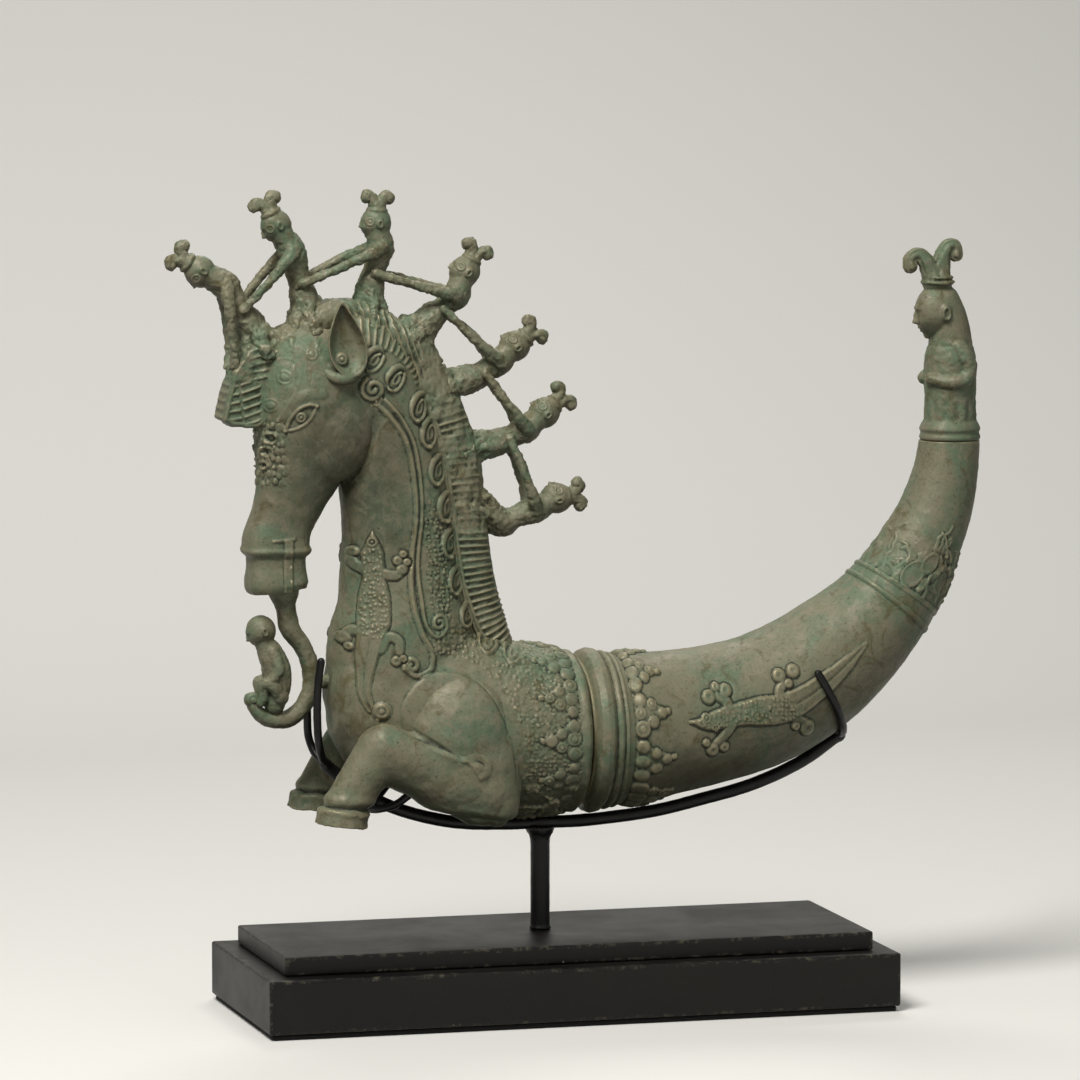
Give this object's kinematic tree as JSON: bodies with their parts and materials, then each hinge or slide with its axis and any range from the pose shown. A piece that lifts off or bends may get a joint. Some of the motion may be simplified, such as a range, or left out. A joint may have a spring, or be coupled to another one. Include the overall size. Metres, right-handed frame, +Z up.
{
  "type": "bronze horn beast figurine",
  "caption": "Patinated bronze horn in the form of a horse beast, with small riders along its mane, held in a black rod cradle on a stepped plinth.",
  "frame": {"origin": "centre of the underlay's flat underside, on the surface that the plinth stands on", "axes": "+X along the plinth towards the horn's tip, the horse facing -X; +Y across the plinth; +Z up"},
  "size_m": [0.5214, 0.16, 0.5092],
  "materials": {
    "bronze_patina": "cast bronze with a grey-green patina, dark in the recesses",
    "rod_paint": "satin black paint on steel rod",
    "board_paint": "satin black paint, worn at the edges",
    "zinc_steel": "plain zinc-plated steel",
    "underlay_felt": "thin dark felt"
  },
  "bodies": {
    "stand": {"plinth_underlay": "underlay_felt", "plinth_lower_board": "board_paint", "plinth_upper_board": "board_paint", "post": "rod_paint", "post_washer": "zinc_steel", "post_nut": "zinc_steel", "cradle_spine": "rod_paint", "front_prong_left": "rod_paint", "front_prong_right": "rod_paint", "rear_prong_left": "rod_paint", "rear_prong_right": "rod_paint", "belly_crossbar": "rod_paint"},
    "figurine": {"horn": "bronze_patina", "horse_forepart": "bronze_patina", "foreleg_left": "bronze_patina", "foreleg_right": "bronze_patina", "mane_comb": "bronze_patina", "forelock_visor": "bronze_patina", "ear_left": "bronze_patina", "ear_right": "bronze_patina", "rider_1": "bronze_patina", "rider_2": "bronze_patina", "rider_3": "bronze_patina", "rider_4": "bronze_patina", "rider_5": "bronze_patina", "rider_6": "bronze_patina", "rider_7": "bronze_patina", "tongue_scroll": "bronze_patina", "pendant_figure": "bronze_patina", "tip_figure": "bronze_patina"}
  },
  "joints": [
    {"name": "lift_off", "type": "slide", "parent": "stand", "child": "figurine", "axis": [0, 0, 1], "range_m": [0, 0.115]}
  ]
}
